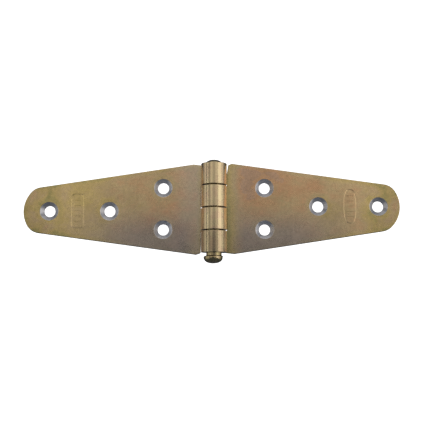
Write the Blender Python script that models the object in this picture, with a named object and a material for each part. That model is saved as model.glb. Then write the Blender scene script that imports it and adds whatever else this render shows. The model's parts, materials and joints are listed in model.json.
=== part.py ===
"""Steel strap hinge: two tapered leaves with rolled knuckles, turning on one headed pin.

Metres, +Z up. The open hinge lies flat on its back: X runs along the straps, Y along the pin and
Z from the back faces to the countersunk fronts. The origin is under the middle of the whole
hinge, in the plane of the back faces.
"""

import math

import bmesh
import bpy
from mathutils import Vector

MM = 0.001

# Sheet and barrel
SHEET = 1.9 * MM                 # thickness of both leaves
BARREL_R = 5.1 * MM              # outer radius of the rolled knuckles
BORE_R = BARREL_R - SHEET        # inner radius of the rolled knuckles
KNUCKLES = 4                     # two on each leaf, in turn
KNUCKLE_LEN = 8.5 * MM
KNUCKLE_GAP = 0.4 * MM           # play between neighbouring knuckles
CURL_TURN = math.radians(300)    # how far each tab is rolled round the pin
CURL_STEPS = 30

# Leaf outline: x out from the pin's axis, v along it towards the leaf's end knuckle
LEFT_REACH = 76.0 * MM
RIGHT_REACH = 74.3 * MM
NOTCH_X = BARREL_R + 0.1 * MM    # edge that faces the other leaf's knuckles
END_SHOULDER = (8.2 * MM, 18.0 * MM)
END_SHOULDER_START = 4.6 * MM
FREE_CORNER = (7.2 * MM, 18.3 * MM)
FREE_CHAMFER_V = 17.7 * MM
LEAN_START_V = 14.2 * MM         # the free end of that edge leans off the barrel from here
LEFT_LEAN = 0.1 * MM
RIGHT_LEAN = 0.55 * MM
END_TAPER = math.radians(8.63)   # slope of the edge on the end knuckle's side
FREE_TAPER = math.radians(7.81)  # slope of the other edge
AXIS_SHIFT = -0.95 * MM          # line of the single holes and the tip, off the leaf's middle
TIP_R = 11.5 * MM                # flat middle arc of the tip
TIP_CORNER_R = 6.0 * MM          # arcs that join it to the tapered edges
ARC_STEP = math.radians(9)

# Screw holes, countersunk from the front
PAIR_X = 20.25 * MM
PAIR_V = 8.35 * MM
SINGLE_XS = (41.7 * MM, 65.75 * MM)
HOLE_R = 2.2 * MM
SINK_R = 3.65 * MM
SINK_DEPTH = SINK_R - HOLE_R     # a right-angled cone
HOLE_SIDES = 24
CUT_OVER = 0.5 * MM              # how far a cutter runs past each face

# Pin
PIN_R = 3.05 * MM
PIN_SIDES = 32
NECK = 1.3 * MM                  # bare pin between the end knuckle and the head
HEAD_R = 3.82 * MM
HEAD_SHOULDER = 0.4 * MM
HEAD_DOME = 2.57 * MM
HEAD_FULLNESS = 2.3              # exponent of the head's dome, 2 being an ellipse
HEAD_OFFSET = -0.3 * MM          # the upset head sits a little off the pin's axis
TIP_DOME = 1.3 * MM
TIP_PROUD = 0.3 * MM             # straight stretch that leaves the end knuckle
DOME_STEPS = 5

# Whole hinge
STACK = KNUCKLES * KNUCKLE_LEN + (KNUCKLES - 1) * KNUCKLE_GAP
PITCH = KNUCKLE_LEN + KNUCKLE_GAP
HEAD_REACH = STACK / 2 + NECK + HEAD_SHOULDER + HEAD_DOME
TIP_REACH = STACK / 2 + TIP_PROUD + TIP_DOME
PIN_X = (LEFT_REACH - RIGHT_REACH) / 2
PIN_Y = (HEAD_REACH - TIP_REACH) / 2


def clear_scene():
    """Remove every object, so that the script can run again in one file."""
    for obj in list(bpy.data.objects):
        bpy.data.objects.remove(obj, do_unlink=True)


def make_material(name, colour, roughness):
    """A metal with the passivated sheet's colour."""
    material = bpy.data.materials.new(name)
    material.use_nodes = True
    shader = material.node_tree.nodes["Principled BSDF"]
    shader.inputs["Base Color"].default_value = (*colour, 1.0)
    shader.inputs["Metallic"].default_value = 0.9
    shader.inputs["Roughness"].default_value = roughness
    return material


def add_object(name, bm, parent=None):
    """Turn a bmesh into an object, with smooth curves and sharp edges."""
    bmesh.ops.recalc_face_normals(bm, faces=bm.faces)
    mesh = bpy.data.meshes.new(name)
    bm.to_mesh(mesh)
    bm.free()
    mesh.shade_smooth()
    mesh.set_sharp_from_angle(angle=math.radians(35))
    obj = bpy.data.objects.new(name, mesh)
    bpy.context.scene.collection.objects.link(obj)
    obj.parent = parent
    return obj


def arc_points(centre, radius, start, end):
    """Points on an arc in the leaf's plane, both ends included."""
    steps = max(1, math.ceil(abs(end - start) / ARC_STEP))
    angles = [start + (end - start) * i / steps for i in range(steps + 1)]
    return [(centre[0] + radius * math.cos(a), centre[1] + radius * math.sin(a)) for a in angles]


def corner_centre(reach, shoulder, taper):
    """Centre of the arc that touches both a tapered edge and the tip's middle arc.

    It is worked out on the side where v is positive, with the tip's middle arc centred at 0.
    """
    tip_x = reach - TIP_R
    slope = math.tan(taper)
    base = shoulder[1] + shoulder[0] * slope - TIP_CORNER_R / math.cos(taper)
    # the centre lies on v = base - slope * x, at TIP_R - TIP_CORNER_R from (tip_x, 0)
    a = 1 + slope ** 2
    b = -2 * (tip_x + base * slope)
    c = tip_x ** 2 + base ** 2 - (TIP_R - TIP_CORNER_R) ** 2
    x = (-b + math.sqrt(b ** 2 - 4 * a * c)) / (2 * a)
    return x, base - slope * x


def tip_half(reach, shoulder, taper):
    """Outline from a tapered edge to the tip's middle line, on the side where v is positive."""
    centre = corner_centre(reach, shoulder, taper)
    joint = math.atan2(centre[1], centre[0] - (reach - TIP_R))
    corner = arc_points(centre, TIP_CORNER_R, math.pi / 2 - taper, joint)
    middle = arc_points((reach - TIP_R, 0.0), TIP_R, joint, 0.0)
    return corner + middle[1:]


def leaf_outline(reach, lean):
    """The flat blank's outline, tabs included, as (x, y) points in order, where y is -v."""
    end_v = END_SHOULDER[1] - AXIS_SHIFT
    free_v = FREE_CORNER[1] + AXIS_SHIFT
    end_side = tip_half(reach, (END_SHOULDER[0], end_v), END_TAPER)
    free_side = tip_half(reach, (FREE_CORNER[0], free_v), FREE_TAPER)[:-1]
    tip = [(x, v + AXIS_SHIFT) for x, v in end_side]
    tip += [(x, AXIS_SHIFT - v) for x, v in reversed(free_side)]
    top = STACK / 2
    outline = [
        (0.0, top),
        (END_SHOULDER_START, top),
        END_SHOULDER,
        *tip,
        (FREE_CORNER[0], -FREE_CORNER[1]),
        (NOTCH_X + lean, -FREE_CHAMFER_V),
        (NOTCH_X, -LEAN_START_V),
        (NOTCH_X, KNUCKLE_GAP / 2 - PITCH),
        (0.0, KNUCKLE_GAP / 2 - PITCH),
        (0.0, -KNUCKLE_GAP / 2),
        (NOTCH_X, -KNUCKLE_GAP / 2),
        (NOTCH_X, PITCH + KNUCKLE_GAP / 2),
        (0.0, PITCH + KNUCKLE_GAP / 2),
    ]
    return [(x, -v) for x, v in outline]


def roll_knuckles(bm):
    """Roll the tabs round the pin's axis, from under it, over it and back to the leaf."""
    ends = [face for face in bm.faces if abs(face.calc_center_median().x) < SHEET / 10]
    for face in ends:
        bmesh.ops.spin(
            bm,
            geom=[face],
            cent=Vector((0.0, 0.0, BARREL_R)),
            axis=Vector((0.0, 1.0, 0.0)),
            angle=CURL_TURN,
            steps=CURL_STEPS,
        )
    bmesh.ops.delete(bm, geom=ends, context="FACES_ONLY")


def screw_hole_cutter(name, parent):
    """Four turned cutters in one object: a straight hole with a cone that opens to the front."""
    bm = bmesh.new()
    spots = [(PAIR_X, PAIR_V), (PAIR_X, -PAIR_V)] + [(x, AXIS_SHIFT) for x in SINGLE_XS]
    wide = SINK_R + CUT_OVER
    profile = [
        (0.0, -CUT_OVER),
        (HOLE_R, -CUT_OVER),
        (HOLE_R, SHEET - SINK_DEPTH),
        (wide, SHEET + CUT_OVER),
        (0.0, SHEET + CUT_OVER),
    ]
    for x, v in spots:
        verts = [bm.verts.new((x + r, -v, z)) for r, z in profile]
        edges = [bm.edges.new(pair) for pair in zip(verts, verts[1:])]
        bmesh.ops.spin(
            bm,
            geom=verts + edges,
            cent=Vector((x, -v, 0.0)),
            axis=Vector((0.0, 0.0, 1.0)),
            angle=math.tau,
            steps=HOLE_SIDES,
            use_merge=True,
        )
    bmesh.ops.remove_doubles(bm, verts=bm.verts, dist=SHEET / 1000)
    cutter = add_object(name, bm, parent)
    cutter.hide_render = True
    cutter.display_type = "WIRE"
    return cutter


def make_leaf(name, reach, lean, turn, axis_empty, material):
    """One blanked, rolled and countersunk leaf, with its origin on the pin's axis."""
    bm = bmesh.new()
    verts = [bm.verts.new((x, y, 0.0)) for x, y in leaf_outline(reach, lean)]
    face = bm.faces.new(verts)
    raised = bmesh.ops.extrude_face_region(bm, geom=[face])
    top = [item for item in raised["geom"] if isinstance(item, bmesh.types.BMVert)]
    bmesh.ops.translate(bm, verts=top, vec=(0.0, 0.0, SHEET))
    bmesh.ops.recalc_face_normals(bm, faces=bm.faces)
    roll_knuckles(bm)
    bmesh.ops.remove_doubles(bm, verts=bm.verts, dist=SHEET / 1000)
    bmesh.ops.translate(bm, verts=bm.verts, vec=(0.0, 0.0, -BARREL_R))
    leaf = add_object(name, bm, axis_empty)
    leaf.rotation_euler = (0.0, 0.0, turn)
    leaf.data.materials.append(material)
    cutter = screw_hole_cutter(name + "_screw_hole_cutter", leaf)
    cutter.location = (0.0, 0.0, -BARREL_R)
    holes = leaf.modifiers.new("screw holes", "BOOLEAN")
    holes.object = cutter
    holes.operation = "DIFFERENCE"
    holes.solver = "EXACT"
    return leaf


def dome(radius, height, fullness, steps):
    """Turned profile of a dome as (radius, height) points, from its rim to its crown."""
    angles = [math.pi / 2 * i / steps for i in range(1, steps + 1)]
    points = [
        (radius * math.cos(a) ** (2 / fullness), height * math.sin(a) ** (2 / fullness))
        for a in angles[:-1]
    ]
    return points + [(0.0, height)]


def pin_profile():
    """Outline of the pin as (radius, y) from the crown of its head to its peened end."""
    neck_y = -STACK / 2 - NECK
    rim_y = neck_y - HEAD_SHOULDER
    head = dome(HEAD_R, HEAD_DOME, HEAD_FULLNESS, DOME_STEPS)
    points = [(r, rim_y - h) for r, h in reversed(head)]
    points += [(HEAD_R, rim_y), (HEAD_R - HEAD_SHOULDER / 2, neck_y), (PIN_R, neck_y)]
    end_y = STACK / 2 + TIP_PROUD
    points.append((PIN_R, end_y))
    points += [(r, end_y + h) for r, h in dome(PIN_R, TIP_DOME, 2.0, DOME_STEPS)]
    return points


def make_pin(name, axis_empty, material):
    """The headed pin, turned round the Y axis; its head is shifted as a whole."""
    bm = bmesh.new()
    verts = [bm.verts.new((r, y, 0.0)) for r, y in pin_profile()]
    edges = [bm.edges.new(pair) for pair in zip(verts, verts[1:])]
    bmesh.ops.spin(
        bm,
        geom=verts + edges,
        cent=Vector(),
        axis=Vector((0.0, 1.0, 0.0)),
        angle=math.tau,
        steps=PIN_SIDES,
        use_merge=True,
    )
    bmesh.ops.remove_doubles(bm, verts=bm.verts, dist=PIN_R / 1000)
    head = [v for v in bm.verts if v.co.y < -STACK / 2 - NECK - HEAD_SHOULDER / 2]
    bmesh.ops.translate(bm, verts=head, vec=(HEAD_OFFSET, 0.0, 0.0))
    pin = add_object(name, bm, axis_empty)
    pin.data.materials.append(material)
    return pin


def build_hinge():
    """Place both leaves and the pin on an empty that stands on the pin's axis."""
    clear_scene()
    axis_empty = bpy.data.objects.new("pin_axis", None)
    axis_empty.location = (PIN_X, PIN_Y, BARREL_R)
    bpy.context.scene.collection.objects.link(axis_empty)
    leaf_finish = make_material("leaf_passivate", (0.33, 0.24, 0.13), 0.38)
    pin_finish = make_material("pin_passivate", (0.36, 0.26, 0.12), 0.3)
    make_leaf("left_leaf", LEFT_REACH, LEFT_LEAN, math.pi, axis_empty, leaf_finish)
    make_leaf("right_leaf", RIGHT_REACH, RIGHT_LEAN, 0.0, axis_empty, leaf_finish)
    make_pin("hinge_pin", axis_empty, pin_finish)


build_hinge()
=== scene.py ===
"""Looks of a yellow-passivated steel strap hinge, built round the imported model."""

import json
import logging
import math
from dataclasses import dataclass, field
from enum import Enum

import bmesh
import bpy
from mathutils import Matrix, Vector, noise


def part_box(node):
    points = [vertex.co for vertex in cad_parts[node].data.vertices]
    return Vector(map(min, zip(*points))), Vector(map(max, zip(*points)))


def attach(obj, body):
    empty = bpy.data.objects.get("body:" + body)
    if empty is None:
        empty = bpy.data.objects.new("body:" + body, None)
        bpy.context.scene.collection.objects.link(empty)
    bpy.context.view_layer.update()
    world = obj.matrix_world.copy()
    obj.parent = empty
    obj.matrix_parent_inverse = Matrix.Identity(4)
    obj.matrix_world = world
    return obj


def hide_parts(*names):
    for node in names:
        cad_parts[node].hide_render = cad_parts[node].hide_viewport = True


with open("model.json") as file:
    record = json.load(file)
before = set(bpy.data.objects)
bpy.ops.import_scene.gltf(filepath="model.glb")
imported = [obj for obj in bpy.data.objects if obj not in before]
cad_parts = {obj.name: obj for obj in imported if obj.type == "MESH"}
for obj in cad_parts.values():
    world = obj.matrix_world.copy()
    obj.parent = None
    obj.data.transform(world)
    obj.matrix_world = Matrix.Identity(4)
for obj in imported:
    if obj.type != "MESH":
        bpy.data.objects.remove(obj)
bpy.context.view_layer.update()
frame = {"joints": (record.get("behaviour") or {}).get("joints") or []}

MM = 0.001
LOG = logging.getLogger("hinge")
PIN_AXIS = Vector(frame["joints"][0]["pos_m"])
WELD = 0.002 * MM
FLAT = 0.99999


class Side(Enum):
    """Which of the two leaves, with all that differs between their shapes."""

    LEFT = ("left_leaf", "fixed_leaf", math.pi, 0.1 * MM, 6.0)
    RIGHT = ("right_leaf", "swinging_leaf", 0.0, 0.55 * MM, 2.6)

    def __init__(self, node: str, body: str, turn: float, lean: float, frame_power: float) -> None:
        """Name the values of one leaf.

        Args:
            node: CAD node that the leaf stands for.
            body: CAD body that it rides on.
            turn: Turn from leaf to row axes, in radians.
            lean: How far the free end of its inner edge leans off the barrel.
            frame_power: Squareness of its mark's frame, 2 being an ellipse.
        """
        self.node = node
        self.body = body
        self.turn = turn
        self.lean = lean
        self.frame_power = frame_power


# ---------------------------------------------------------------------------------------------
# Shader maths
# ---------------------------------------------------------------------------------------------


class Value:
    """A number socket that takes part in Python expressions, adding Math nodes."""

    def __init__(self, bench: "NodeBench", socket: bpy.types.NodeSocket) -> None:
        """Wrap a socket.

        Args:
            bench: Bench that adds the nodes.
            socket: Output socket with one number.
        """
        self.bench = bench
        self.socket = socket

    def math(self, operation: str, *others: "Value | float") -> "Value":
        """Add a Math node on this value.

        Args:
            operation: The node's operation.
            others: Its further inputs.

        Returns:
            The node's result.
        """
        return self.bench.math(operation, self, *others)

    def __add__(self, other: "Value | float") -> "Value":
        """Return the sum."""
        return self.math("ADD", other)

    __radd__ = __add__

    def __sub__(self, other: "Value | float") -> "Value":
        """Return the difference."""
        return self.math("SUBTRACT", other)

    def __rsub__(self, other: float) -> "Value":
        """Return a number less this value."""
        return self.bench.math("SUBTRACT", other, self)

    def __mul__(self, other: "Value | float") -> "Value":
        """Return the product."""
        return self.math("MULTIPLY", other)

    __rmul__ = __mul__

    def __truediv__(self, other: "Value | float") -> "Value":
        """Return the quotient."""
        return self.math("DIVIDE", other)

    def __abs__(self) -> "Value":
        """Return the size without its sign."""
        return self.math("ABSOLUTE")

    def least(self, other: "Value | float") -> "Value":
        """Return the smaller of two values."""
        return self.math("MINIMUM", other)

    def most(self, other: "Value | float") -> "Value":
        """Return the larger of two values."""
        return self.math("MAXIMUM", other)

    def squared(self) -> "Value":
        """Return the square."""
        return self * self

    def root(self) -> "Value":
        """Return the square root."""
        return self.math("SQRT")

    def ramp(self, low: float, high: float) -> "Value":
        """Rise smoothly from 0 at one value to 1 at another.

        Args:
            low: Value that gives 0.
            high: Value that gives 1, which may be the smaller one.

        Returns:
            The eased mask.
        """
        settings = {"interpolation_type": "SMOOTHSTEP"}
        if low < high:
            inputs = {"Value": self, "From Min": low, "From Max": high}
            return self.bench.value("ShaderNodeMapRange", settings, inputs)
        inputs = {"Value": self, "From Min": high, "From Max": low, "To Min": 1.0, "To Max": 0.0}
        return self.bench.value("ShaderNodeMapRange", settings, inputs)


class NodeBench:
    """Adds nodes to one material."""

    def __init__(self, name: str) -> None:
        """Start an empty material.

        Args:
            name: The material's name.
        """
        self.material = bpy.data.materials.new(name)
        self.material.use_nodes = True
        self.tree = self.material.node_tree
        self.tree.nodes.clear()

    def add(self, kind: str, settings: dict, inputs: dict) -> bpy.types.Node:
        """Add one node.

        Args:
            kind: The node's type.
            settings: Its properties, set first; "stops" holds a ramp's places and colours.
            inputs: Values, sockets or nodes' outputs for its sockets, by name or number.

        Returns:
            The new node.
        """
        node = self.tree.nodes.new(kind)
        for key, setting in settings.items():
            if key == "stops":
                self.set_stops(node, setting)
            else:
                setattr(node, key, setting)
        for key, given in inputs.items():
            socket = node.inputs[key]
            if isinstance(given, Value):
                given = given.socket
            if isinstance(given, bpy.types.NodeSocket):
                self.tree.links.new(given, socket)
            else:
                socket.default_value = given
        return node

    @staticmethod
    def set_stops(node: bpy.types.Node, stops: list) -> None:
        """Set a colour ramp's stops.

        Args:
            node: The ramp.
            stops: Pairs of place and colour, in order.
        """
        elements = node.color_ramp.elements
        while len(elements) > len(stops):
            elements.remove(elements[-1])
        while len(elements) < len(stops):
            elements.new(1.0)
        for element, (place, colour) in zip(elements, stops):
            element.position = place
            element.color = (*colour, 1.0)

    def value(self, kind: str, settings: dict, inputs: dict, output: int | str = 0) -> Value:
        """Add a node and wrap one of its outputs.

        Args:
            kind: The node's type.
            settings: Its properties.
            inputs: What its sockets get.
            output: The output's number or name.

        Returns:
            The wrapped output.
        """
        return Value(self, self.add(kind, settings, inputs).outputs[output])

    def math(self, operation: str, *terms: Value | float) -> Value:
        """Add a Math node.

        Args:
            operation: The node's operation.
            terms: Its inputs, in order.

        Returns:
            Its result.
        """
        return self.value("ShaderNodeMath", {"operation": operation}, dict(enumerate(terms)))

    @staticmethod
    def opaque(given: bpy.types.NodeSocket | tuple) -> bpy.types.NodeSocket | tuple:
        """Return a colour with its alpha, or a socket as it is."""
        return (*given, 1.0) if isinstance(given, tuple) else given

    def mix(
        self,
        share: Value | float,
        first: bpy.types.NodeSocket | tuple,
        second: bpy.types.NodeSocket | tuple,
    ) -> bpy.types.NodeSocket:
        """Mix two colours.

        Args:
            share: Share of the second colour.
            first: Colour at share 0.
            second: Colour at share 1.

        Returns:
            The mixed colour's socket.
        """
        inputs = {"Factor": share, 6: self.opaque(first), 7: self.opaque(second)}
        settings = {"data_type": "RGBA", "blend_type": "MIX"}
        return self.add("ShaderNodeMix", settings, inputs).outputs[2]

    def noise(
        self,
        where: bpy.types.NodeSocket,
        per_metre: float,
        detail: float = 2.0,
        roughness: float = 0.5,
        seed: float = 0.0,
        distortion: float = 0.0,
    ) -> Value:
        """Add a noise.

        Args:
            where: Coordinates in metres.
            per_metre: How many features fit in a metre.
            detail: Layers of finer noise.
            roughness: Strength of the finer layers.
            seed: Place in the fourth dimension.
            distortion: How far the pattern is bent.

        Returns:
            A value round 0.5.
        """
        inputs = {
            "Vector": where,
            "W": seed,
            "Scale": per_metre,
            "Detail": detail,
            "Roughness": roughness,
            "Distortion": distortion,
        }
        return self.value("ShaderNodeTexNoise", {"noise_dimensions": "4D"}, inputs)

    def place(self, offset: Vector, turn: float, stretch: tuple = (1.0, 1.0, 1.0)) -> bpy.types.NodeSocket:
        """Object coordinates, turned and moved into a piece's own axes.

        Args:
            offset: Where the pattern's origin lies, in metres.
            turn: The piece's turn about the vertical, in radians.
            stretch: Scale along the piece's own axes.

        Returns:
            The coordinates' socket.
        """
        start = self.add("ShaderNodeTexCoord", {}, {}).outputs["Object"]
        moved = {"Vector": start, "Location": offset, "Rotation": (0.0, 0.0, turn)}
        own = self.add("ShaderNodeMapping", {"vector_type": "TEXTURE"}, moved).outputs[0]
        if stretch == (1.0, 1.0, 1.0):
            return own
        return self.add("ShaderNodeMapping", {}, {"Vector": own, "Scale": stretch}).outputs[0]

    def scale(
        self, colour: bpy.types.NodeSocket | tuple, gain: Value | float
    ) -> bpy.types.NodeSocket:
        """Make a colour lighter or darker.

        Args:
            colour: The colour or its socket.
            gain: What it is multiplied by.

        Returns:
            The scaled colour's socket.
        """
        inputs = {"Vector": colour, "Scale": gain}
        return self.add("ShaderNodeVectorMath", {"operation": "SCALE"}, inputs).outputs[0]

    def bump(self, height: Value, distance: float, strength: float) -> bpy.types.NodeSocket:
        """Turn a height into a normal.

        Args:
            height: The surface's height, from 0 to 1.
            distance: What a height of 1 stands for, in metres.
            strength: Share of the effect.

        Returns:
            The normal's socket.
        """
        inputs = {"Height": height, "Distance": distance, "Strength": strength}
        return self.add("ShaderNodeBump", {}, inputs).outputs[0]

    def finish(self, inputs: dict) -> bpy.types.Material:
        """Close the material with a Principled shader.

        Args:
            inputs: The shader's inputs.

        Returns:
            The finished material.
        """
        shader = self.add("ShaderNodeBsdfPrincipled", {}, inputs)
        self.add("ShaderNodeOutputMaterial", {}, {"Surface": shader.outputs[0]})
        return self.material


# ---------------------------------------------------------------------------------------------
# Sizes
# ---------------------------------------------------------------------------------------------


@dataclass(frozen=True)
class LeafSizes:
    """Sizes that both leaves share: x runs out from the pin, v along it to the end knuckle."""

    sheet: float = 1.9 * MM
    barrel_r: float = 5.1 * MM
    knuckles: int = 4
    knuckle: float = 8.5 * MM
    gap: float = 0.4 * MM
    curl: float = math.radians(300)
    curl_steps: int = 75
    notch_clearance: float = 0.1 * MM
    end_shoulder: tuple = (8.2 * MM, 18.0 * MM)
    end_shoulder_start: float = 4.6 * MM
    free_corner: tuple = (7.2 * MM, 18.3 * MM)
    free_chamfer_v: float = 17.7 * MM
    lean_start_v: float = 14.2 * MM
    notch_corner_r: float = 0.45 * MM
    end_taper: float = math.radians(8.63)
    free_taper: float = math.radians(7.81)
    axis_shift: float = -0.95 * MM
    tip_r: float = 11.5 * MM
    tip_corner_r: float = 6.0 * MM
    arc_step: float = math.radians(2.5)
    pair_x: float = 20.25 * MM
    pair_v: float = 8.35 * MM
    single_xs: tuple = (41.7 * MM, 65.75 * MM)
    hole_r: float = 2.2 * MM
    sink_r: float = 3.65 * MM
    edge_r: float = 0.2 * MM

    @property
    def notch_x(self) -> float:
        """Edge of the strap that faces the other leaf's knuckles."""
        return self.barrel_r + self.notch_clearance

    @property
    def pitch(self) -> float:
        """Distance from one knuckle to the next."""
        return self.knuckle + self.gap

    @property
    def stack(self) -> float:
        """Length of all the knuckles together."""
        return self.knuckles * self.pitch - self.gap

    def hole_places(self) -> list:
        """Return the (x, v) middles of the screw holes."""
        pair = [(self.pair_x, self.pair_v), (self.pair_x, -self.pair_v)]
        return pair + [(x, self.axis_shift) for x in self.single_xs]


# ---------------------------------------------------------------------------------------------
# Finishes
# ---------------------------------------------------------------------------------------------

GREY_VIOLET = (0.42, 0.37, 0.35)
ROSE = (0.70, 0.425, 0.235)
TAN = (0.64, 0.485, 0.27)
GOLD = (0.65, 0.50, 0.215)
OLIVE = (0.47, 0.41, 0.175)
LEAF_GREEN = (0.40, 0.45, 0.22)
BARE_ZINC = (0.74, 0.74, 0.77)
BARREL_GOLD = (0.63, 0.52, 0.31)
BARREL_ROSE = (0.60, 0.45, 0.29)
PEENED_GREY = (0.16, 0.16, 0.17)


@dataclass(frozen=True)
class Passivate:
    """Yellow passivate on zinc-plated steel, as laid on a leaf or on the pin."""

    roughness: float = 0.28
    barrel_roughness: float = 0.21
    stain_per_m: float = 42.0
    patch_per_m: float = 130.0
    speckle_per_m: float = 900.0
    grain_per_m: float = 2600.0

    @staticmethod
    def tint(bench: NodeBench, film: Value) -> bpy.types.NodeSocket:
        """Colour of the film.

        Args:
            bench: The material's bench.
            film: Its thickness, from 0 to 1.

        Returns:
            The colour's socket.
        """
        stops = [
            (0.0, GREY_VIOLET),
            (0.18, ROSE),
            (0.38, TAN),
            (0.56, GOLD),
            (0.72, OLIVE),
            (0.86, LEAF_GREEN),
            (1.0, ROSE),
        ]
        return bench.add("ShaderNodeValToRGB", {"stops": stops}, {"Fac": film}).outputs["Color"]


@dataclass(frozen=True)
class StainsAndShade:
    """How one leaf's film, and the shade painted on it, differ from the other's.

    Args:
        seed: Place of its stain pattern in the noise.
        shaded_half: Sign of v on the half towards -y, away from the back lights, whose film is painted
            greyer and darker as shade.
        base: Its usual film, as a share of the full tint.
        band: How much thicker the film is along the barrel.
        rose: How much thinner it is on the rosy half.
        pale: Share of bare zinc beside the barrel.
        shade: How much darker the end knuckle is painted, as shade, and how much darker the dark stripe
            is.
    """

    seed: float
    shaded_half: float
    base: float
    band: float
    rose: float
    pale: float
    shade: float


STAINS_AND_SHADE = {
    Side.LEFT: StainsAndShade(seed=3.0, shaded_half=-1.0, base=0.36, band=0.0, rose=0.07, pale=0.22, shade=0.0),
    Side.RIGHT: StainsAndShade(seed=8.0, shaded_half=1.0, base=0.31, band=0.18, rose=0.14, pale=0.05, shade=0.22),
}


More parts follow.
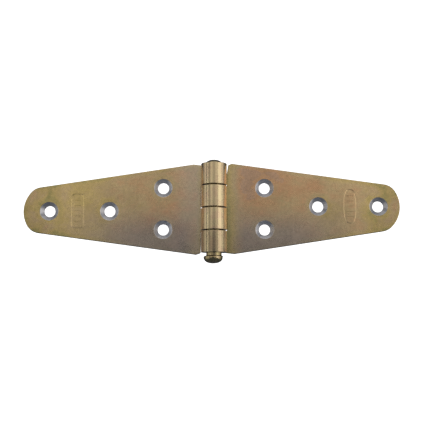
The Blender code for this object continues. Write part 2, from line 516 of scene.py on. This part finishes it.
@dataclass(frozen=True)
class LeafPassivate(Passivate):
    """Passivate on one leaf, whose tint shifts towards the sheet's edges, holes and barrel, with shade
    painted on its half towards -y and on the right leaf's end knuckle.
    """

    side: Side = Side.LEFT
    reach: float = 0.075
    sizes: LeafSizes = LeafSizes()

    # Where each change starts and ends, and the stripes' middles, in millimetres.
    tip_zone: tuple = (52.0, 70.0)
    band_zone: tuple = (10.5, 7.0)
    edge_zone: tuple = (2.4, 0.3)
    hole_zone: tuple = (6.5, 4.0)
    pale_zone: tuple = (19.0, 8.0)
    barrel_zone: tuple = (5.4, 5.0)
    sink_zone: tuple = (3.75, 3.6)
    sink_depth: tuple = (1.8, 1.6)
    gold_stripe: float = 49.0
    dark_stripe: float = 47.0
    stripe_zone: tuple = (9.0, 3.0)
    knuckle_zone: tuple = (7.0, 11.0)

    # Least film, most grey-violet painted as shade on the shaded half, and the waves' height.
    thinnest: float = 0.13
    shade_share: float = 0.72
    wave: float = 0.12 * MM

    # Features in a metre of the other noises, and how the drawn ones are stretched.
    wisp_per_m: float = 420.0
    cloud_per_m: float = 150.0
    streak_per_m: float = 900.0
    worn_per_m: float = 320.0
    smudge_per_m: float = 210.0
    wave_per_m: float = 90.0
    flow_stretch: tuple = (0.45, 1.0, 1.0)
    drawn_stretch: tuple = (1.0, 0.06, 1.0)

    @property
    def stains_and_shade(self) -> StainsAndShade:
        """This leaf's own figures, for its stains and its painted shade."""
        return STAINS_AND_SHADE[self.side]

    def edge_distance(self, x: Value, v: Value) -> Value:
        """Distance to the nearest edge of the strap.

        Args:
            x: Distance out from the pin's axis, in millimetres.
            v: Distance along it towards the end knuckle, in millimetres.

        Returns:
            The distance in millimetres.
        """
        s = self.sizes
        end_line = (s.end_shoulder[1] + s.end_shoulder[0] * math.tan(s.end_taper)) / MM
        free_line = (s.free_corner[1] + s.free_corner[0] * math.tan(s.free_taper)) / MM
        end = end_line - x * math.tan(s.end_taper) - v
        free = free_line - x * math.tan(s.free_taper) + v
        across = v - s.axis_shift / MM
        out = self.reach / MM - x - across.squared() / (2 * s.tip_r / MM)
        inner = x - s.notch_x / MM
        return end.least(free).least(out).least(inner)

    def hole_distance(self, x: Value, v: Value) -> Value:
        """Distance to the nearest screw hole's middle.

        Args:
            x: Distance out from the pin's axis, in millimetres.
            v: Distance along it towards the end knuckle, in millimetres.

        Returns:
            The distance in millimetres.
        """
        nearest = None
        for hole_x, hole_v in self.sizes.hole_places():
            square = (x - hole_x / MM).squared() + (v - hole_v / MM).squared()
            nearest = square if nearest is None else nearest.least(square)
        return nearest.root()

    def film(self, bench: NodeBench, own: bpy.types.NodeSocket, x: Value, v: Value) -> Value:
        """Thickness of the film, in broad stain patterns, finer patches and bands that follow the shape.

        Args:
            bench: The material's bench.
            own: Coordinates in the leaf's own axes.
            x: Distance out from the pin's axis, in millimetres.
            v: Distance along it towards the end knuckle, in millimetres.

        Returns:
            The thickness, from 0 to 1.
        """
        look = self.stains_and_shade
        stain = bench.noise(own, self.stain_per_m, 2.0, 0.5, look.seed, 0.8) - 0.5
        patch = bench.noise(own, self.patch_per_m, 3.0, 0.6, look.seed + 5.0, 0.7) - 0.5
        flow = bench.place(PIN_AXIS, self.side.turn, self.flow_stretch)
        wisp = bench.noise(flow, self.wisp_per_m, 3.0, 0.6, look.seed + 7.0, 0.5) - 0.5
        tip = x.ramp(*self.tip_zone)
        film = look.base + stain * 0.5 + patch * (0.35 + tip * 0.9) + wisp * 0.3
        gold = abs(x - self.gold_stripe).ramp(*self.stripe_zone)
        film = film + x.ramp(*self.band_zone) * look.band + gold * 0.12
        film = film + tip * 0.17 + self.edge_distance(x, v).ramp(*self.edge_zone) * 0.16
        rosy = (v * -look.shaded_half).ramp(0.0, 8.0) * x.ramp(58.0, 48.0) * x.ramp(9.0, 13.0)
        film = film + self.hole_distance(x, v).ramp(*self.hole_zone) * 0.1 - rosy * look.rose
        return film.most(self.thinnest)

    def material(self, name: str) -> bpy.types.Material:
        """Build the material.

        Args:
            name: Its name.

        Returns:
            The material.
        """
        bench = NodeBench(name)
        own = bench.place(PIN_AXIS, self.side.turn)
        parts = bench.add("ShaderNodeSeparateXYZ", {}, {"Vector": own})
        x = Value(bench, parts.outputs["X"]) / MM
        v = Value(bench, parts.outputs["Y"]) * (-1.0 / MM)
        depth = (self.sizes.sheet - PIN_AXIS.z) / MM - Value(bench, parts.outputs["Z"]) / MM
        barrel = x.ramp(*self.barrel_zone)
        sink = self.hole_distance(x, v).ramp(*self.sink_zone) * depth.ramp(*self.sink_depth)
        look = self.stains_and_shade
        grain = bench.noise(own, self.grain_per_m, 3.0, 0.6, look.seed)
        speckle = bench.noise(own, self.speckle_per_m, 4.0, 0.65, look.seed + 2.0)
        cloud = bench.noise(own, self.cloud_per_m, 4.0, 0.6, look.seed + 21.0)
        dust = 1.0 + (speckle - 0.5) * 0.6 + (grain - 0.5) * 0.4 + (cloud - 0.5) * 0.4
        dark = abs(x - self.dark_stripe).ramp(*self.stripe_zone)
        dust = dust - x.ramp(56.0, 75.0) * 0.22 - dark * look.shade * 0.3
        # Painted shade: the leaf's half towards -y, away from the back lights, is mixed towards
        # grey-violet, greyer and darker.
        shaded_half = (v * look.shaded_half).ramp(-3.0, 12.0) * x.ramp(62.0, 28.0) * x.ramp(6.0, 13.0)
        tint = self.tint(bench, self.film(bench, own, x, v))
        tint = bench.mix(x.ramp(*self.pale_zone) * look.pale, tint, BARE_ZINC)
        # The painted shade on the shaded half is mixed in here.
        plate = bench.scale(bench.mix(shaded_half * self.shade_share, tint, GREY_VIOLET), dust)
        drawn = bench.place(PIN_AXIS, self.side.turn, self.drawn_stretch)
        streak = bench.noise(drawn, self.streak_per_m, 3.0, 0.6, look.seed + 9.0)
        worn = bench.noise(own, self.worn_per_m, 3.0, 0.6, look.seed + 10.0)
        rolled = bench.mix(worn.ramp(0.35, 0.65), BARREL_ROSE, BARREL_GOLD)
        # Painted shade: the right leaf's end knuckle, lowest and furthest from the back lights, is
        # darkened by shade; the streaks vary the barrel's lightness at random.
        lit = 0.88 + streak * 0.24 - v.ramp(*self.knuckle_zone) * look.shade
        colour = bench.mix(barrel, plate, bench.scale(rolled, lit))
        colour = bench.mix(sink, colour, bench.scale(BARE_ZINC, dust))
        smudge = bench.noise(own, self.smudge_per_m, 3.0, 0.6, look.seed + 12.0)
        rough = self.roughness + (smudge - 0.5) * 0.16 + (grain - 0.5) * 0.12
        rough = rough - barrel * (self.roughness - self.barrel_roughness) + sink * 0.14
        wave = bench.noise(own, self.wave_per_m, 2.0, 0.5, look.seed + 15.0)
        height = wave * 0.5 + grain * 0.01 + speckle * 0.02 + streak * barrel * 0.02
        normal = bench.bump(height, self.wave, 0.5)
        return bench.finish(
            {"Base Color": colour, "Metallic": 0.94, "Roughness": rough, "Normal": normal}
        )


@dataclass(frozen=True)
class PinPassivate(Passivate):
    """Passivate on the pin: glossy on the upset head, worn to grey on the peened end."""

    roughness: float = 0.24
    end_y: float = 0.0175

    def material(self, name: str) -> bpy.types.Material:
        """Build the material.

        Args:
            name: Its name.

        Returns:
            The material.
        """
        bench = NodeBench(name)
        own = bench.place(PIN_AXIS, 0.0)
        parts = bench.add("ShaderNodeSeparateXYZ", {}, {"Vector": own})
        y = Value(bench, parts.outputs["Y"]) / MM
        stain = bench.noise(own, 240.0, 3.0, 0.55, 1.0, 0.5)
        speckle = bench.noise(own, 1500.0, 3.0, 0.6, 4.0)
        film = stain * 1.6 - 0.2
        colour = bench.scale(self.tint(bench, film), 0.95 + (speckle - 0.5) * 0.6)
        peened = y.ramp(self.end_y / MM, self.end_y / MM + 0.6)
        colour = bench.mix(0.3 + peened * 0.6, colour, PEENED_GREY)
        rough = self.roughness + (speckle - 0.5) * 0.2 + peened * 0.15
        normal = bench.bump(stain * 0.6 + speckle * 0.15, 0.1 * MM, 0.6)
        return bench.finish(
            {"Base Color": colour, "Metallic": 0.95, "Roughness": rough, "Normal": normal}
        )


@dataclass(frozen=True)
class PaleFloor:
    """Plain white sweep, bright enough to stay white round the hinge."""

    colour: tuple = (0.9, 0.9, 0.9)
    glow: float = 1.0

    def material(self, name: str) -> bpy.types.Material:
        """Build the material.

        Args:
            name: Its name.

        Returns:
            The material.
        """
        bench = NodeBench(name)
        own = bench.place(Vector(), 0.0)
        tone = bench.noise(own, 6.0, 2.0) * 0.02 + 0.98
        colour = bench.scale(self.colour, tone)
        return bench.finish(
            {
                "Base Color": colour,
                "Roughness": 0.9,
                "Emission Color": (1.0, 1.0, 1.0, 1.0),
                "Emission Strength": self.glow,
            }
        )


# ---------------------------------------------------------------------------------------------
# Pieces
# ---------------------------------------------------------------------------------------------


def turn_profile(bm: bmesh.types.BMesh, profile: list, axis: Vector, steps: int) -> None:
    """Turn an open profile a full turn round an axis through the origin.

    Args:
        bm: Mesh that gets the turned shape.
        profile: Points from one end of the axis to the other.
        axis: The axis.
        steps: Facets round the shape.
    """
    verts = [bm.verts.new(point) for point in profile]
    edges = [bm.edges.new(pair) for pair in zip(verts, verts[1:])]
    bmesh.ops.spin(
        bm,
        geom=verts + edges,
        cent=Vector(),
        axis=axis,
        angle=math.tau,
        steps=steps,
        use_merge=True,
    )
    bmesh.ops.remove_doubles(bm, verts=bm.verts, dist=WELD)
    bmesh.ops.recalc_face_normals(bm, faces=bm.faces)


def add_piece(name: str, bm: bmesh.types.BMesh, sharp: float = 30.0) -> bpy.types.Object:
    """Turn a finished bmesh into an object at the origin.

    Args:
        name: The object's name.
        bm: The mesh, which is freed.
        sharp: Angle in degrees past which an edge stays sharp.

    Returns:
        The object.
    """
    mesh = bpy.data.meshes.new(name)
    bm.to_mesh(mesh)
    bm.free()
    mesh.shade_smooth()
    mesh.set_sharp_from_angle(angle=math.radians(sharp))
    piece = bpy.data.objects.new(name, mesh)
    bpy.context.scene.collection.objects.link(piece)
    return piece


@dataclass
class Leaf:
    """One blanked, rolled, countersunk and stamped leaf."""

    side: Side
    sizes: LeafSizes = field(default_factory=LeafSizes)
    hole_steps: int = 72
    lip_r: float = 0.25 * MM
    mark_x: float = 54.4 * MM
    mark_bars: int = 5
    bar: tuple = (2.6 * MM, 0.6 * MM)
    bar_foot: tuple = (0.93, 0.5, 1.0)
    bar_pitch: float = 2.1 * MM
    frame: tuple = (4.8 * MM, 13.6 * MM)
    groove: float = 0.7 * MM
    mark_depth: float = 0.07 * MM
    frame_steps: int = 64
    square: float = math.radians(50)
    sharp: float = math.radians(35)

    @property
    def reach(self) -> float:
        """Distance from the pin's axis to the tip, read from the CAD node.

        Returns:
            The distance in metres.
        """
        low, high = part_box(self.side.node)
        if self.side is Side.LEFT:
            return PIN_AXIS.x - low.x
        return high.x - PIN_AXIS.x

    def to_row(self) -> Matrix:
        """Return the matrix from leaf axes to row axes."""
        foot = Vector((PIN_AXIS.x, PIN_AXIS.y, 0.0))
        return Matrix.Translation(foot) @ Matrix.Rotation(self.side.turn, 4, "Z")

    def arc(self, centre: tuple, radius: float, start: float, end: float) -> list:
        """Points on an arc in the leaf's plane.

        Args:
            centre: The arc's centre.
            radius: Its radius.
            start: First angle.
            end: Last angle.

        Returns:
            The points, both ends included.
        """
        steps = max(1, math.ceil(abs(end - start) * min(1.0, radius / MM) / self.sizes.arc_step))
        angles = [start + (end - start) * i / steps for i in range(steps + 1)]
        return [
            (centre[0] + radius * math.cos(a), centre[1] + radius * math.sin(a)) for a in angles
        ]

    def tip_half(self, shoulder: tuple, taper: float) -> list:
        """Outline from a tapered edge to the tip's middle, with v counted from that middle.

        Args:
            shoulder: Point where the tapered edge starts.
            taper: The edge's slope.

        Returns:
            Points of the corner arc and of half the middle arc.
        """
        s = self.sizes
        tip_x = self.reach - s.tip_r
        slope = math.tan(taper)
        base = shoulder[1] + shoulder[0] * slope - s.tip_corner_r / math.cos(taper)
        a = 1 + slope**2
        b = -2 * (tip_x + base * slope)
        c = tip_x**2 + base**2 - (s.tip_r - s.tip_corner_r) ** 2
        x = (-b + math.sqrt(b**2 - 4 * a * c)) / (2 * a)
        centre = (x, base - slope * x)
        joint = math.atan2(centre[1], centre[0] - tip_x)
        corner = self.arc(centre, s.tip_corner_r, math.pi / 2 - taper, joint)
        return corner + self.arc((tip_x, 0.0), s.tip_r, joint, 0.0)[1:]

    def notch_corner(self, v: float, side: float) -> list:
        """Rounded inside corner between the inner edge and a tab.

        Args:
            v: The tab's edge.
            side: 1 where the notch is on the side of larger v, -1 on the other.

        Returns:
            Points from the inner edge to the tab's edge.
        """
        s = self.sizes
        centre = (s.notch_x - s.notch_corner_r, v + side * s.notch_corner_r)
        return self.arc(centre, s.notch_corner_r, 0.0, -side * math.pi / 2)

    def outline(self) -> list:
        """Outline of the flat blank, in leaf axes, where y is -v.

        Returns:
            The (x, y) points, in order.
        """
        s = self.sizes
        end_start = (s.end_shoulder[0], s.end_shoulder[1] - s.axis_shift)
        free_start = (s.free_corner[0], s.free_corner[1] + s.axis_shift)
        end_side = self.tip_half(end_start, s.end_taper)
        free_side = self.tip_half(free_start, s.free_taper)[:-1]
        tip = [(x, v + s.axis_shift) for x, v in end_side]
        tip += [(x, s.axis_shift - v) for x, v in reversed(free_side)]
        half_gap = s.gap / 2
        points = [
            (0.0, s.stack / 2),
            (s.end_shoulder_start, s.stack / 2),
            s.end_shoulder,
            *tip,
            (s.free_corner[0], -s.free_corner[1]),
            (s.notch_x + self.side.lean, -s.free_chamfer_v),
            (s.notch_x, -s.lean_start_v),
            *self.notch_corner(half_gap - s.pitch, -1.0),
            (0.0, half_gap - s.pitch),
            (0.0, -half_gap),
            *reversed(self.notch_corner(-half_gap, 1.0)),
            *self.notch_corner(s.pitch + half_gap, -1.0),
            (0.0, s.pitch + half_gap),
        ]
        return [(x, -v) for x, v in points]

    def blank(self) -> bmesh.types.BMesh:
        """Raise the outline into a flat sheet, with its back on z = 0.

        Returns:
            The sheet's mesh.
        """
        bm = bmesh.new()
        face = bm.faces.new([bm.verts.new((x, y, 0.0)) for x, y in self.outline()])
        raised = bmesh.ops.extrude_face_region(bm, geom=[face])
        top = [item for item in raised["geom"] if isinstance(item, bmesh.types.BMVert)]
        bmesh.ops.translate(bm, verts=top, vec=(0.0, 0.0, self.sizes.sheet))
        bmesh.ops.recalc_face_normals(bm, faces=bm.faces)
        return bm

    def roll(self, bm: bmesh.types.BMesh) -> None:
        """Roll the tabs round the pin's axis.

        Args:
            bm: The blank.
        """
        s = self.sizes
        ends = [face for face in bm.faces if abs(face.calc_center_median().x) < WELD]
        for face in ends:
            bmesh.ops.spin(
                bm,
                geom=[face],
                cent=Vector((0.0, 0.0, s.barrel_r)),
                axis=Vector((0.0, 1.0, 0.0)),
                angle=s.curl,
                steps=s.curl_steps,
            )
        bmesh.ops.delete(bm, geom=ends, context="FACES_ONLY")
        bmesh.ops.remove_doubles(bm, verts=bm.verts, dist=WELD)
        bmesh.ops.recalc_face_normals(bm, faces=bm.faces)

    def soften(self, bm: bmesh.types.BMesh) -> None:
        """Round every edge that the press left square.

        Args:
            bm: The rolled leaf.
        """
        square = [e for e in bm.edges if e.calc_face_angle(0.0) > self.square]
        bmesh.ops.bevel(
            bm,
            geom=square,
            offset=self.sizes.edge_r,
            offset_type="OFFSET",
            segments=3,
            profile=0.5,
            affect="EDGES",
            material=-1,
            clamp_overlap=False,
        )

    def hole_profile(self) -> list:
        """Profile of a cutter: straight hole, cone and rounded lip, with a small chamfer.

        Returns:
            Points from the axis below the back to the axis above the front.
        """
        s = self.sizes
        over = 0.6 * MM
        nick = 0.12 * MM
        cone_foot = s.sheet - (s.sink_r - s.hole_r)
        lip_x = s.sink_r + self.lip_r * math.tan(math.pi / 8)
        lip_z = s.sheet - self.lip_r + WELD
        angles = [math.radians(135 - 45 * i / 4) for i in range(5)]
        lip = [(lip_x + self.lip_r * math.cos(a), lip_z + self.lip_r * math.sin(a)) for a in angles]
        points = [(0.0, -over), (s.hole_r + nick, -over), (s.hole_r + nick, 0.0)]
        points += [(s.hole_r, nick), (s.hole_r, cone_foot), *lip]
        points += [(lip_x, s.sheet + over), (0.0, s.sheet + over)]
        return [Vector((r, 0.0, z)) for r, z in points]

    def add_hole_cutters(self, bm: bmesh.types.BMesh) -> None:
        """Add the four turned screw-hole cutters.

        Args:
            bm: Mesh that holds the cutters, in leaf axes.
        """
        for x, v in self.sizes.hole_places():
            before = set(bm.verts)
            turn_profile(bm, self.hole_profile(), Vector((0.0, 0.0, 1.0)), self.hole_steps)
            fresh = [vert for vert in bm.verts if vert not in before]
            bmesh.ops.translate(bm, verts=fresh, vec=(x, -v, 0.0))

    def add_mark_cutters(self, bm: bmesh.types.BMesh) -> None:
        """Add the plain stamped mark: a rounded frame round a short ladder of bars.

        Args:
            bm: Mesh that holds the cutters, in leaf axes.
        """
        s = self.sizes
        middle = Vector((self.mark_x, -s.axis_shift, s.sheet))
        for index in range(self.mark_bars):
            y = (index - (self.mark_bars - 1) / 2) * self.bar_pitch
            place = Matrix.Translation(middle + Vector((0.0, y, 0.0)))
            size = Matrix.Diagonal((*self.bar, 2 * self.mark_depth, 1.0))
            cube = bmesh.ops.create_cube(bm, size=1.0, matrix=place @ size)
            low = [vert for vert in cube["verts"] if vert.co.z < s.sheet]
            home = Matrix.Translation(-place.translation)
            bmesh.ops.scale(bm, verts=low, vec=self.bar_foot, space=home)
        self.add_frame_cutter(bm, middle)

    def add_frame_cutter(self, bm: bmesh.types.BMesh, middle: Vector) -> None:
        """Add the mark's frame, a V groove along a superellipse.

        Args:
            bm: Mesh that holds the cutters, in leaf axes.
            middle: The frame's middle, on the leaf's front.
        """
        rings = []
        section = [(-0.5, 1.0), (0.0, -1.0), (0.5, 1.0)]
        for side, height in section:
            ring = []
            for i in range(self.frame_steps):
                turn = math.tau * i / self.frame_steps
                c, n = math.cos(turn), math.sin(turn)
                half_x = self.frame[0] / 2 + side * self.groove
                half_y = self.frame[1] / 2 + side * self.groove
                x = half_x * math.copysign(abs(c) ** (2 / self.side.frame_power), c)
                y = half_y * math.copysign(abs(n) ** (2 / self.side.frame_power), n)
                ring.append(bm.verts.new(middle + Vector((x, y, height * self.mark_depth))))
            rings.append(ring)
        for first, second in zip(rings, rings[1:] + rings[:1]):
            for i in range(self.frame_steps):
                j = (i + 1) % self.frame_steps
                bm.faces.new((first[i], first[j], second[j], second[i]))

    def cut(self, leaf: bpy.types.Object) -> None:
        """Cut the screw holes and the mark, and keep only the result.

        Args:
            leaf: The softened leaf, in leaf axes.
        """
        bm = bmesh.new()
        self.add_hole_cutters(bm)
        self.add_mark_cutters(bm)
        cutter = add_piece(self.side.node + "_cutter", bm)
        boolean = leaf.modifiers.new("holes", "BOOLEAN")
        boolean.object = cutter
        boolean.operation = "DIFFERENCE"
        boolean.solver = "EXACT"
        graph = bpy.context.evaluated_depsgraph_get()
        finished = bpy.data.meshes.new_from_object(leaf.evaluated_get(graph))
        leaf.modifiers.clear()
        leaf.data = finished
        bpy.data.objects.remove(cutter)

    def build(self) -> bpy.types.Object:
        """Make the finished leaf, riding on its body.

        Returns:
            The leaf's object.
        """
        bm = self.blank()
        self.roll(bm)
        self.soften(bm)
        leaf = add_piece(self.side.node + "_plate", bm)
        self.cut(leaf)
        leaf.data.transform(self.to_row())
        leaf.data.shade_smooth()
        leaf.data.set_sharp_from_angle(angle=self.sharp)
        for face in leaf.data.polygons:
            face.use_smooth = abs(face.normal.z) < FLAT
        weighted = leaf.modifiers.new("long facets stay straight", "WEIGHTED_NORMAL")
        weighted.keep_sharp = True
        finish = LeafPassivate(side=self.side, reach=self.reach, sizes=self.sizes)
        leaf.data.materials.clear()
        leaf.data.materials.append(finish.material(self.side.node + "_passivate"))
        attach(leaf, self.side.body)
        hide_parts(self.side.node)
        return leaf


@dataclass
class Pin:
    """The headed pin, peened at its other end."""

    sizes: LeafSizes = field(default_factory=LeafSizes)
    shank_r: float = 3.05 * MM
    neck: float = 1.3 * MM
    head_r: float = 3.82 * MM
    head_shoulder: float = 0.4 * MM
    head_dome: float = 2.57 * MM
    head_fullness: float = 2.3
    head_offset: float = -0.3 * MM
    tip_proud: float = 0.3 * MM
    tip_dome: float = 1.3 * MM
    steps: int = 96
    dome_steps: int = 14
    dents: float = 0.05 * MM

    def dome(self, radius: float, height: float, fullness: float) -> list:
        """Turned profile of a dome.

        Args:
            radius: Its rim's radius.
            height: Its height.
            fullness: Exponent, 2 being an ellipse.

        Returns:
            (radius, height) points from just above the rim to the crown.
        """
        angles = [math.pi / 2 * i / self.dome_steps for i in range(1, self.dome_steps)]
        power = 2 / fullness
        points = [
            (radius * math.cos(a) ** power, height * math.sin(a) ** power) for a in angles
        ]
        return points + [(0.0, height)]

    def profile(self) -> list:
        """Outline of the pin, from the head's crown to the peened end.

        Returns:
            Points at one side of the axis.
        """
        neck_y = -self.sizes.stack / 2 - self.neck
        rim_y = neck_y - self.head_shoulder
        head = self.dome(self.head_r, self.head_dome, self.head_fullness)
        points = [(r, rim_y - h) for r, h in reversed(head)]
        points.append((self.head_r, rim_y))
        for i in range(1, 5):
            a = math.pi / 2 * i / 4
            r = self.head_r - self.head_shoulder * (1 - math.cos(a))
            points.append((r, rim_y + self.head_shoulder * math.sin(a)))
        fillet = 0.2 * MM
        points += [(self.shank_r + fillet, neck_y), (self.shank_r, neck_y + fillet)]
        end_y = self.sizes.stack / 2 + self.tip_proud
        points.append((self.shank_r, end_y))
        points += [(r, end_y + h) for r, h in self.dome(self.shank_r, self.tip_dome, 2.0)]
        return [Vector((r, y, 0.0)) for r, y in points]

    def hammer(self, bm: bmesh.types.BMesh) -> None:
        """Dent the head and the peened end, pushing points inwards only.

        Args:
            bm: The turned pin, on its own axis.
        """
        ends = self.sizes.stack / 2 + self.neck / 2
        tip = self.sizes.stack / 2 + self.tip_proud
        for vert in bm.verts:
            if -ends < vert.co.y < tip:
                continue
            share = 0.5 + 0.5 * noise.noise(vert.co * 600.0)
            inward = Vector((vert.co.x, 0.0, vert.co.z)) * (self.dents / self.shank_r)
            vert.co -= inward * share

    def build(self) -> bpy.types.Object:
        """Make the finished pin, riding on the fixed leaf's body.

        Returns:
            The pin's object.
        """
        bm = bmesh.new()
        turn_profile(bm, self.profile(), Vector((0.0, 1.0, 0.0)), self.steps)
        self.hammer(bm)
        head_start = -self.sizes.stack / 2 - self.neck - self.head_shoulder / 2
        head = [vert for vert in bm.verts if vert.co.y < head_start]
        bmesh.ops.translate(bm, verts=head, vec=(self.head_offset, 0.0, 0.0))
        bmesh.ops.translate(bm, verts=bm.verts, vec=PIN_AXIS)
        pin = add_piece("headed_pin", bm, 40.0)
        finish = PinPassivate(end_y=self.sizes.stack / 2 + self.tip_proud)
        pin.data.materials.append(finish.material("pin_passivate"))
        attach(pin, "fixed_leaf")
        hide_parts("hinge_pin")
        return pin


# ---------------------------------------------------------------------------------------------
# Studio
# ---------------------------------------------------------------------------------------------


WARM = (1.0, 0.93, 0.84)
CREAM = (1.0, 0.96, 0.9)


@dataclass(frozen=True)
class Softbox:
    """A rectangular area light that faces the hinge."""

    name: str
    azimuth: float
    degrees_up: float
    distance: float
    size: tuple
    radiance: float
    colour: tuple = (1.0, 1.0, 1.0)

    def build(self) -> bpy.types.Object:
        """Place the light.

        Returns:
            The light's object.
        """
        light = bpy.data.lights.new(self.name, "AREA")
        light.shape = "RECTANGLE"
        light.size, light.size_y = self.size
        light.energy = self.radiance * math.pi * self.size[0] * self.size[1]
        light.color = self.colour
        lamp = bpy.data.objects.new(self.name, light)
        up = math.radians(self.degrees_up)
        tip = Matrix.Rotation(math.pi / 2 - up, 3, "X")
        turn = Matrix.Rotation(math.pi - self.azimuth, 3, "Z") @ tip
        lamp.location = turn @ Vector((0.0, 0.0, self.distance))
        lamp.rotation_euler = turn.to_euler()
        bpy.context.scene.collection.objects.link(lamp)
        return lamp


@dataclass
class Studio:
    """White sweep, soft boxes and the camera over the hinge."""

    floor_drop: float = 0.09
    floor_size: float = 6.0
    view_width: float = 169.1264 * MM
    distance: float = 0.27
    tilt: float = math.radians(6.5)
    aim: Vector = field(default_factory=lambda: Vector((0.00009, 0.00006, 0.0019)))
    room_colour: tuple = (0.62, 0.76, 1.0)
    room_strength: float = 0.09

    def floor(self) -> bpy.types.Object:
        """Lay the floor, a little below the lowest pose.

        Returns:
            The floor's object.
        """
        bm = bmesh.new()
        bmesh.ops.create_grid(bm, x_segments=1, y_segments=1, size=self.floor_size / 2)
        bmesh.ops.translate(bm, verts=bm.verts, vec=(0.0, 0.0, -self.floor_drop))
        sweep = add_piece("sweep", bm)
        sweep.data.materials.append(PaleFloor().material("white_sweep"))
        sweep.visible_glossy = False
        sweep.visible_shadow = False
        return sweep

    @staticmethod
    def softboxes() -> list:
        """Place all the lights.

        Returns:
            Their objects.
        """
        side = math.pi / 2
        boxes = [
            Softbox("back_box", 0.0, 57.7, 1.0, (1.3, 1.05), 0.5, WARM),
            Softbox("back_low", 0.0, 17.0, 1.0, (1.4, 0.45), 0.75, CREAM),
            Softbox("right_top", side * 0.86, 64.0, 1.0, (0.9, 0.43), 0.28, WARM),
            Softbox("left_top", -side * 0.9, 55.0, 1.0, (0.9, 0.77), 0.3, WARM),
            Softbox("right_box", side, 37.0, 0.9, (0.8, 0.55), 1.3, CREAM),
            Softbox("left_box", -side, 32.0, 0.9, (0.8, 0.14), 1.1, CREAM),
            Softbox("right_low", side, 10.0, 0.9, (1.0, 0.26), 0.95, CREAM),
            Softbox("left_low", -side, 9.0, 0.9, (1.0, 0.3), 0.75, CREAM),
            Softbox("right_bounce", side, -9.0, 0.9, (1.0, 0.26), 0.4, CREAM),
            Softbox("left_bounce", -side, -9.0, 0.9, (1.0, 0.26), 0.4, CREAM),
        ]
        return [box.build() for box in boxes]

    def world(self) -> bpy.types.World:
        """Make a dim, slightly blue room.

        Returns:
            The world.
        """
        world = bpy.data.worlds.new("room")
        world.use_nodes = True
        background = world.node_tree.nodes["Background"]
        background.inputs["Color"].default_value = (*self.room_colour, 1.0)
        background.inputs["Strength"].default_value = self.room_strength
        bpy.context.scene.world = world
        return world

    def camera(self) -> bpy.types.Object:
        """Place the scene's camera, nearly straight above the hinge.

        Returns:
            The camera's object.
        """
        data = bpy.data.cameras.new("camera")
        data.sensor_width = 36.0
        data.lens = data.sensor_width * self.distance / self.view_width
        data.clip_start = 0.01
        data.clip_end = 20.0
        camera = bpy.data.objects.new("camera", data)
        turn = Matrix.Rotation(self.tilt, 3, "X")
        camera.rotation_euler = turn.to_euler()
        camera.location = self.aim + turn @ Vector((0.0, 0.0, self.distance))
        bpy.context.scene.collection.objects.link(camera)
        bpy.context.scene.camera = camera
        return camera

    def build(self) -> None:
        """Set up the whole studio."""
        bpy.context.scene.view_settings.view_transform = "Standard"
        self.camera()
        self.floor()
        self.softboxes()
        self.world()


def main() -> None:
    """Build the studio and the hinge's pieces, in order."""
    logging.basicConfig(level=logging.INFO)
    Studio().build()
    for builder in (Leaf(Side.LEFT), Leaf(Side.RIGHT), Pin()):
        piece = builder.build()
        LOG.info("%s: %d faces", piece.name, len(piece.data.polygons))


if __name__ == "__main__":
    main()
